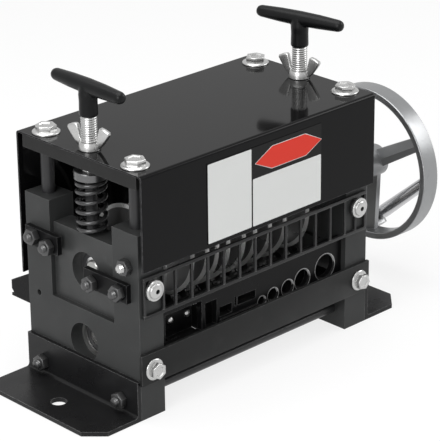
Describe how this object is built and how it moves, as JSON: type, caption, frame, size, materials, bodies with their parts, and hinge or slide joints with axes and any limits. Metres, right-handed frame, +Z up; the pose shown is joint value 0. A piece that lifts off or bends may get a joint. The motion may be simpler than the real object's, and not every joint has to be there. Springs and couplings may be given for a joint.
{
  "type": "hand crank wire stripper",
  "caption": "Bench cable stripper: black steel frame with blades and feed rollers behind a grille, cable channels, two sprung pressure screws and a crank handwheel.",
  "frame": {"origin": "on the bench, midway between the two end frames and midway front to back, in the centre of the two foot holes", "axes": "+X along the machine towards the handwheel, -Y the side the cable goes in, +Z up from the bench"},
  "size_m": [0.4456, 0.1776, 0.2878],
  "materials": {
    "blackened_steel": "satin black oxide on steel",
    "black_paint": "smooth black paint",
    "cover_paint": "black powder coat with a fine grain",
    "label_sheet": "plain pale label sheet with black surround",
    "bright_steel": "machined steel",
    "blade_steel": "ground tool steel",
    "roller_steel": "hardened steel, dull",
    "bearing_steel": "polished bearing steel with dark shields",
    "spring_steel": "blackened spring wire",
    "zinc_plate": "bright zinc plate",
    "handle_plastic": "moulded black plastic",
    "wheel_casting": "cast and turned aluminium, satin",
    "grip_chrome": "satin bright metal grip"
  },
  "bodies": {
    "frame": {"end_frame_left": "blackened_steel", "foot_left": "blackened_steel", "bridge_left": "blackened_steel", "clip_rear_left": "blackened_steel", "clip_front_left": "blackened_steel", "lower_bearing_left": "bearing_steel", "end_frame_right": "blackened_steel", "foot_right": "blackened_steel", "bridge_right": "blackened_steel", "clip_rear_right": "blackened_steel", "clip_front_right": "blackened_steel", "lower_bearing_right": "bearing_steel", "spacer_sleeves": "blackened_steel", "top_bolts": "zinc_plate", "cover": "cover_paint", "label_plate": "label_sheet", "guard": "black_paint", "guard_bolts": "zinc_plate", "front_beam": "black_paint", "beam_bolts": "zinc_plate", "tie_rods": "blackened_steel", "feed_plate": "black_paint", "flat_guide": "black_paint", "guide_screws": "zinc_plate", "outlet": "black_paint", "studs": "zinc_plate", "nuts": "zinc_plate"},
    "carriage": {"sliding_block_left": "blackened_steel", "upper_bearing_left": "bearing_steel", "spring_left": "spring_steel", "sliding_block_right": "blackened_steel", "upper_bearing_right": "bearing_steel", "spring_right": "spring_steel"},
    "upper_rotor": {"upper_shaft": "bright_steel", "blades": "blade_steel", "blade_collars": "bright_steel", "upper_gear": "roller_steel", "handwheel": "wheel_casting", "hub_washer": "zinc_plate", "hub_bolt": "zinc_plate", "crank_lug": "wheel_casting", "fold_pin": "bright_steel"},
    "crank": {"crank_arm": "bright_steel"},
    "grip": {"crank_grip": "grip_chrome"},
    "lower_rotor": {"lower_shaft": "bright_steel", "feed_rollers": "roller_steel", "lower_gear": "roller_steel"},
    "cap_left": {"spring_cap_left": "blackened_steel"},
    "screw_left": {"pressure_screw_left": "zinc_plate", "t_handle_left": "handle_plastic"},
    "lock_left": {"wing_nut_left": "zinc_plate"},
    "cap_right": {"spring_cap_right": "blackened_steel"},
    "screw_right": {"pressure_screw_right": "zinc_plate", "t_handle_right": "handle_plastic"},
    "lock_right": {"wing_nut_right": "zinc_plate"}
  },
  "joints": [
    {"name": "shaft_lift", "type": "slide", "parent": "frame", "child": "carriage", "axis": [0, 0, 1], "range_m": [0, 0.004], "stiffness_N_per_m": 20000, "springref_m": -0.003, "deforming": ["spring_left", "spring_right"]},
    {"name": "crank_turn", "type": "hinge", "parent": "carriage", "child": "upper_rotor", "pos_m": [0, 0, 0.1145], "axis": [1, 0, 0], "continuous": true},
    {"name": "crank_fold", "type": "hinge", "parent": "upper_rotor", "child": "crank", "pos_m": [0.246, 0.011, 0.048], "axis": [0, 0.6561, 0.7547], "range_deg": [0, 90]},
    {"name": "grip_spin", "type": "hinge", "parent": "crank", "child": "grip", "pos_m": [0.246, 0.011, 0.048], "axis": [0, -0.7547, 0.6561], "continuous": true},
    {"name": "feed_turn", "type": "hinge", "parent": "frame", "child": "lower_rotor", "pos_m": [0, 0, 0.0495], "axis": [1, 0, 0], "continuous": true},
    {"name": "cap_travel_left", "type": "slide", "parent": "frame", "child": "cap_left", "axis": [0, 0, 1], "range_m": [-0.008, 0], "deforming": ["spring_left"]},
    {"name": "pressure_screw_turn_left", "type": "hinge", "parent": "cap_left", "child": "screw_left", "pos_m": [-0.1255, 0, 0.199], "axis": [0, 0, 1], "range_deg": [-1440, 0]},
    {"name": "wing_nut_turn_left", "type": "hinge", "parent": "frame", "child": "lock_left", "pos_m": [-0.1255, 0, 0.2235], "axis": [0, 0, 1], "range_deg": [0, 720]},
    {"name": "cap_travel_right", "type": "slide", "parent": "frame", "child": "cap_right", "axis": [0, 0, 1], "range_m": [-0.008, 0], "deforming": ["spring_right"]},
    {"name": "pressure_screw_turn_right", "type": "hinge", "parent": "cap_right", "child": "screw_right", "pos_m": [0.1255, 0, 0.199], "axis": [0, 0, 1], "range_deg": [-1440, 0]},
    {"name": "wing_nut_turn_right", "type": "hinge", "parent": "frame", "child": "lock_right", "pos_m": [0.1255, 0, 0.2235], "axis": [0, 0, 1], "range_deg": [0, 720]}
  ],
  "couplings": [
    {"joint": "feed_turn", "follows": "crank_turn", "ratio": -1},
    {"joint": "cap_travel_left", "follows": "pressure_screw_turn_left", "m_per_rad": 0.00031831},
    {"joint": "cap_travel_right", "follows": "pressure_screw_turn_right", "m_per_rad": 0.00031831}
  ]
}
